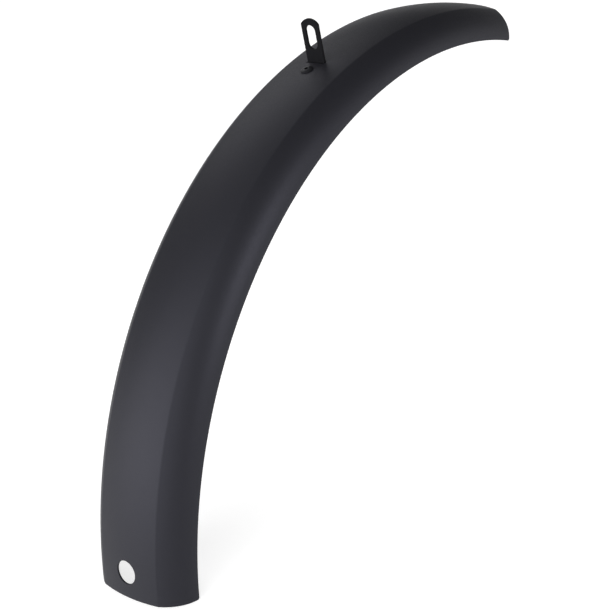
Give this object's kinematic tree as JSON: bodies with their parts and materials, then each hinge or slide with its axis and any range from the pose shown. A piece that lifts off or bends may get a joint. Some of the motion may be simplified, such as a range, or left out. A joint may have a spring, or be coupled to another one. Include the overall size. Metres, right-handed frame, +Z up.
{
  "type": "bicycle mudguard",
  "caption": "Front bicycle mudguard: a creased, crowned plastic shell on a wheel's arc, with a riveted steel strip slotted for the fork bolt and a round hole near its long end.",
  "frame": {"origin": "centre of the bracket's bolt slot, on the face that meets the fork crown", "axes": "+X forwards along the fork bolt, +Y to the rider's left, +Z up along the fork's steering axis"},
  "size_m": [0.3722, 0.065, 0.2411],
  "materials": {
    "shell_plastic": "fine satin texture, black",
    "bracket_steel": "black coated strip",
    "rivet_black": "black coated rivet head",
    "mandrel_steel": "dull broken steel pin"
  },
  "bodies": {
    "root": {"guard_shell": "shell_plastic", "fork_bracket": "bracket_steel", "rivet_body": "rivet_black", "rivet_mandrel": "mandrel_steel"}
  },
  "joints": []
}
